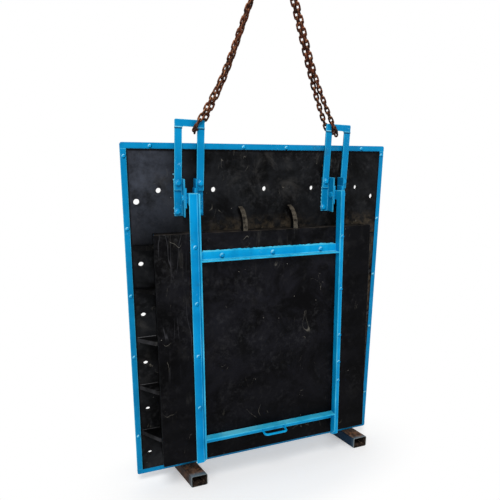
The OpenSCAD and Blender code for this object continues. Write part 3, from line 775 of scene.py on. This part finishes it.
def rubberwork():
    """Plate, lining, seat box, gussets, horns, slab and panel."""
    dress("seat_flange", "back")
    drilled("frame_plate", "back", "bore")
    drilled("frame_lining", "lining", "bore")
    dress("seat_seal", "seal")
    for side in ("left", "right"):
        worn_fronts(eased("gussets_" + side, "gusset", 5 * MM, 3))
        eased("horn_" + side, "horn", 3 * MM, 3)
    for side in ("left", "right", "top", "bottom"):
        eased("seat_wall_" + side, "wall", 3 * MM, 3)
    eased("flap_slab", "flap", 5 * MM, 3)
    eased("flap_panel", "panel", 2.5 * MM)


# ---- Studs, bolts and welds ----

def trim_studs():
    """Studs along the edge angles."""
    face = node_box("trim_left")[0].y
    places = [facing_front(x * MM, face, z * MM) for x, z in TRIM_STUDS]
    settle(copies(stud(TRIM_STUD_R, TRIM_STUD_H), places), "trim_studs", "frame", "blue")


def flap_studs():
    """Studs along the arms and the top crossbar."""
    low, high = node_box("arm_right", LEANED)
    face = low.y + ARM_FACE
    places = [facing_front(x * MM, face, z * MM) for x, row in ARM_STUDS for z in row]
    low, high = node_box("crossbar_top", LEANED)
    face, level = high.y - ANGLE_T, high.z - CROSSBAR_FACE
    places += [facing_front(x * MM, face, level) for x in CROSSBAR_STUDS]
    settle(copies(stud(), places), "flap_studs", "flap", "blue", LEANED)


def bracket_bolts():
    """Bolts through the hanger legs above and the bracket flanges below."""
    face = node_box("bracket_left_outer")[1].y - ANGLE_T
    places = []
    for side in (-1, 1):
        for x, z in BOLTS:
            leg = LEG_T if z > 0 else 0
            place = hung(side, x * MM, face - leg, z * MM)
            places.append(facing_front(*place, math.radians(5 * len(places))))
    settle(copies(bolt(), places), "bracket_bolts", "frame", "blue")


def hanger_seams():
    """Weld beads where the bar of each hanger meets its legs, dark beads below them as painted shadow, spots on
    the brackets.
    """
    front = node_box("hanger_left")[0].y
    low, high = node_box("bracket_left_outer")
    runs, shadow_beads = [], []
    for side in (-1, 1):
        for ends in SEAM_ENDS:
            runs.append([hung(side, x * MM, front, SEAM_Z) for x in ends])
            shadow_beads.append([hung(side, x * MM, front + SHADOW_SUNK, SEAM_Z - SHADOW_DROP)
                            for x in ends])
        x = -abs(low.x) if side < 0 else node_box("bracket_right_inner")[0].x
        for z in SPOTS[side]:
            runs.append([(x, high.y - ANGLE_T / 2, end * MM) for end in (z, z + SPOT_LONG)])
    beads("hanger_seams", "frame", "seam", runs)
    beads("hanger_grooves", "frame", "shade", shadow_beads)


def flap_seams():
    """Weld beads over the arms' heads, in the flap's upright frame."""
    runs = []
    for side in ("left", "right"):
        low, high = node_box("arm_" + side, LEANED)
        ends = (low.x + 2 * MM, high.x - 2 * MM)
        runs.append([(x, low.y + HEAD_SEAM, high.z) for x in ends])
    beads("flap_seams", "flap", "seam", runs, LEANED, HEAD_WELD_R)


def ragged_lips():
    """Torn rubber, painted over, that shows beyond the steel on the flap."""
    made = []
    for node, width, seed in (("crossbar_top", 4 * MM, 3), ("crossbar_bottom", 3 * MM, 5)):
        low, high = node_box(node, LEANED)
        ends = [(x, high.y, high.z) for x in (low.x + LIP_INSET, high.x - LIP_INSET)]
        made.append(lip(*ends, Z_AXIS, -Y_AXIS, width, LIP_T, seed))
    low, high = node_box("arm_right", LEANED)
    ends = [(low.x, high.y, z) for z in ARM_LIP]
    made.append(lip(*ends, -X_AXIS, -Y_AXIS, 3 * MM, LIP_T, 8))
    # The torn lips take the lighter edge blue, a painted highlight
    settle(joined(made), "ragged_lips", "flap", "edge", LEANED, smooth=40)


# ---- Chain sling ----

def chain_link():
    """One long link, its length along X and its ring's axis along Z."""
    ring_r = (LINK_INNER + LINK_WIRE) / 2
    bpy.ops.mesh.primitive_torus_add(major_segments=16, minor_segments=8, major_radius=ring_r,
                                     minor_radius=LINK_WIRE / 2)
    obj = bpy.context.active_object
    stretch = (LINK_PITCH - LINK_INNER) / 2
    with editing(obj, "VERT"):
        for side in (-1, 1):
            select(obj, lambda v: v.co.x * side > 0.1 * MM)
            bpy.ops.transform.translate(value=(side * stretch, 0, 0))
    return obj


def along_path(points, distance):
    """Point at a distance along a path, running straight on past its end."""
    for a, b in zip(points, points[1:]):
        length = (b - a).length
        if distance <= length:
            return a + (b - a) * (distance / length)
        distance -= length
    return points[-1] + (points[-1] - points[-2]).normalized() * distance


def hung(side, x, y, z):
    """Point given from a hanger's foot, in the hanger's leaning frame."""
    across, up = math.cos(HANGER_LEAN), math.sin(HANGER_LEAN)
    return Vector((side * HANGER_X + side * x * across + z * up, y,
                   HANGER_FOOT + z * across - side * x * up))


def strand_foot(side, strand):
    """Where the outer (0) or inner (1) strand of a chain hangs from its end link."""
    ring, ring_r = ring_middle()
    turn = (2 * strand - 1) * FOOT_TURN
    x = -side * math.sin(LINK_TWIST) * math.sin(turn) * END_LINK_R
    reach = ring_r + END_LINK_HANG + math.cos(turn) * END_LINK_R
    return ring + Vector((x * math.cos(LINK_TURN) + side * math.sin(LINK_TURN) * reach,
                          math.cos(LINK_TWIST) * math.sin(turn) * END_LINK_R,
                          side * x * math.sin(LINK_TURN) - math.cos(LINK_TURN) * reach))


def ring_middle():
    """Middle of the lifting ring, and its radius to the middle of its bar."""
    low, high = node_box("lifting_ring")
    return (low + high) / 2, (high.z - low.z - high.y + low.y) / 2


def strand_path(side):
    """Course of a doubled chain: from the ring, round the hanger's bar and back."""
    saddle = [hung(side, x * MM, SADDLE_Y + y * MM, z * MM) for x, y, z in SADDLE]
    course = []
    for strand, foot in ((0, saddle[0]), (1, saddle[-1])):
        run = strand_foot(side, strand) - foot
        course.append([foot + run * share - Vector((side * CHAIN_SAG * sag, 0, 0))
                       for share, sag in SAG_LINE])
    for level, much in DRAWN_AT:
        gap = (course[1][level] - course[0][level]) * much
        course[0][level] += gap * STRANDS_DRAWN[side][0]
        course[1][level] -= gap * STRANDS_DRAWN[side][1]
    return course[0][::-1] + saddle[1:-1] + course[1]


def link_places(side):
    """Place of each link along a chain, every other one rolled by a quarter turn."""
    path = rounded_path(strand_path(side))
    total = sum((b - a).length for a, b in zip(path, path[1:]))
    count = round(total / LINK_PITCH)
    places = []
    for index in range(count):
        start = along_path(path, drifted(side, index, count, total))
        end = along_path(path, drifted(side, index + 1, count, total))
        turn = (end - start).to_track_quat("X", "Z").to_matrix().to_4x4()
        height = abs(2 * index / count - 1)
        above = min(1, max(0, (height - TURN_FROM) / (TURN_TO - TURN_FROM)))
        roll = math.radians(LINK_ROLL[side] + LINK_TURNED[side] * above + 90 * (index % 2))
        places.append(Matrix.Translation((start + end) / 2) @ turn @ Matrix.Rotation(roll, 4, "X"))
    return places


def bunch_places(side):
    """Place of each loose link at the front of a hanger's bar."""
    return [Matrix.Translation(hung(side, x * MM, SADDLE_Y + y * MM, z * MM))
            @ Matrix.Rotation(side * math.radians(tilt), 4, "Y")
            @ Matrix.Rotation(math.radians(roll), 4, "X") for x, y, z, tilt, roll in BUNCH]


def chains():
    """The links of each chain with its end link, and the loose links at the bar."""
    for side, name in ((-1, "left"), (1, "right")):
        links = copies(chain_link(), link_places(side))
        settle(joined([links, end_link(side)]), f"chain_{name}_links", "frame", "chain",
               replaces=["chain_" + name], smooth=80)
        settle(copies(chain_link(), bunch_places(side)), f"chain_{name}_bunch", "frame", "dark_rust_and_shade",
               smooth=80)


def drifted(side, index, count, total):
    """Distance of a link's start along its chain; the links drift a little over the saddle."""
    return total * index / count + LINK_DRIFT[side] * (1 - abs(2 * index / count - 1))


def rounded_path(points):
    """The path with each corner cut twice, so that it bends smoothly."""
    for _ in range(2):
        cut = [points[0]]
        for a, b in zip(points, points[1:]):
            cut += [a.lerp(b, 0.25), a.lerp(b, 0.75)]
        points = cut + [points[-1]]
    return points


def end_link(side):
    """The larger link that holds both strands of a chain on the bar of the lifting ring."""
    ring, ring_r = ring_middle()
    bpy.ops.mesh.primitive_torus_add(major_segments=32, minor_segments=12,
                                     major_radius=END_LINK_R, minor_radius=END_LINK_WIRE / 2)
    place = (Matrix.Translation(ring) @ Matrix.Rotation(-side * LINK_TURN, 4, "Y")
             @ Matrix.Translation((0, 0, -ring_r - END_LINK_HANG))
             @ Matrix.Rotation(side * LINK_TWIST, 4, "Z") @ Matrix.Rotation(math.pi / 2, 4, "Y"))
    return copies(bpy.context.active_object, [place])


def lifting_ring():
    """The ring that both chains hang from."""
    low, high = node_box("lifting_ring")
    bar = (high.y - low.y) / 2
    bpy.ops.mesh.primitive_torus_add(major_segments=72, minor_segments=20, minor_radius=bar,
                                     major_radius=(high.z - low.z) / 2 - bar,
                                     location=(low + high) / 2, rotation=(math.pi / 2, 0, 0))
    settle(bpy.context.active_object, "lifting_ring_finished", "frame", "chain",
           replaces=["lifting_ring"], smooth=80)


# ---- Studio ----

def light_rays(tree):
    """Factor that is 1 for the rays by which a background is seen, straight on or mirrored."""
    rays = tree.nodes.new("ShaderNodeLightPath")
    seen = rays.outputs["Is Camera Ray"]
    for other in ("Is Glossy Ray", "Is Transmission Ray"):
        either = tree.nodes.new("ShaderNodeMath")
        either.operation = "MAXIMUM"
        tree.links.new(seen, either.inputs[0])
        tree.links.new(rays.outputs[other], either.inputs[1])
        seen = either.outputs[0]
    return seen


def pale_floor():
    """Matt floor that keeps the shadow near the object and runs out to plain white."""
    bpy.ops.mesh.primitive_plane_add(size=FLOOR_WIDTH)
    floor = bpy.context.active_object
    floor.name = "floor"
    floor.scale = FLOOR_SCALE
    material = bpy.data.materials.new("floor")
    material.use_nodes = True
    tree = material.node_tree
    matt = tree.nodes["Principled BSDF"]
    matt.inputs["Base Color"].default_value = (FLOOR_TONE, FLOOR_TONE, FLOOR_TONE, 1)
    matt.inputs["Roughness"].default_value = 1.0
    matt.inputs[SPECULAR].default_value = 0.0
    matt.inputs["Emission Color"].default_value = (1, 1, 1, 1)
    matt.inputs["Emission Strength"].default_value = FLOOR_LIFT
    place = tree.nodes.new("ShaderNodeTexCoord")
    reach = tree.nodes.new("ShaderNodeVectorMath")
    reach.operation = "LENGTH"
    fade = tree.nodes.new("ShaderNodeMapRange")
    fade.interpolation_type = "SMOOTHSTEP"
    fade.inputs[1].default_value, fade.inputs[2].default_value = FLOOR_FADE
    amount = tree.nodes.new("ShaderNodeMath")
    amount.operation = "MULTIPLY"
    white = tree.nodes.new("ShaderNodeEmission")
    mix = tree.nodes.new("ShaderNodeMixShader")
    tree.links.new(place.outputs["Object"], reach.inputs[0])
    tree.links.new(reach.outputs["Value"], fade.inputs[0])
    tree.links.new(fade.outputs[0], amount.inputs[0])
    tree.links.new(light_rays(tree), amount.inputs[1])
    tree.links.new(amount.outputs[0], mix.inputs[0])
    tree.links.new(matt.outputs[0], mix.inputs[1])
    tree.links.new(white.outputs[0], mix.inputs[2])
    tree.links.new(mix.outputs[0], tree.nodes["Material Output"].inputs[0])
    floor.data.materials.append(material)


def white_world(level):
    """Even light from all round, with plain white behind it."""
    world = bpy.data.worlds.new("studio")
    world.use_nodes = True
    tree = world.node_tree
    light = tree.nodes["Background"]
    light.inputs["Color"].default_value = (1, 1, 1, 1)
    light.inputs["Strength"].default_value = level
    white = tree.nodes.new("ShaderNodeBackground")
    white.inputs["Color"].default_value = (1, 1, 1, 1)
    mix = tree.nodes.new("ShaderNodeMixShader")
    tree.links.new(light_rays(tree), mix.inputs[0])
    tree.links.new(light.outputs[0], mix.inputs[1])
    tree.links.new(white.outputs[0], mix.inputs[2])
    tree.links.new(mix.outputs[0], tree.nodes["World Output"].inputs[0])
    bpy.context.scene.world = world


def lamp(name, place, size, power):
    """Square soft lamp, turned to the middle of the gate."""
    data = bpy.data.lights.new(name, "AREA")
    data.size, data.energy = size, power
    obj = added(name, data)
    obj.location = place
    obj.rotation_euler = (Vector(LAMP_TARGET) - Vector(place)).to_track_quat("-Z", "Y").to_euler()


def studio_camera():
    """View from the front left, at eye height."""
    data = bpy.data.cameras.new("camera")
    data.sensor_width = SENSOR_WIDTH
    data.lens = CAMERA_LENS
    camera = added("camera", data)
    yaw, pitch, roll = (math.radians(a) for a in (CAMERA_YAW, CAMERA_PITCH, CAMERA_ROLL))
    turn = (Matrix.Rotation(-yaw, 4, "Z") @ Matrix.Rotation(math.pi / 2 - pitch, 4, "X")
            @ Matrix.Rotation(roll, 4, "Z"))
    camera.matrix_world = Matrix.Translation(CAMERA_PLACE) @ turn
    bpy.context.scene.camera = camera


steelwork()
rubberwork()
trim_studs()
flap_studs()
bracket_bolts()
hanger_seams()
gusset_coves()
flap_seams()
ragged_lips()
chains()
lifting_ring()
pale_floor()
white_world(WORLD_LEVEL)
for settings in LAMPS:
    lamp(*settings)
studio_camera()
bpy.context.scene.view_settings.view_transform = "Standard"
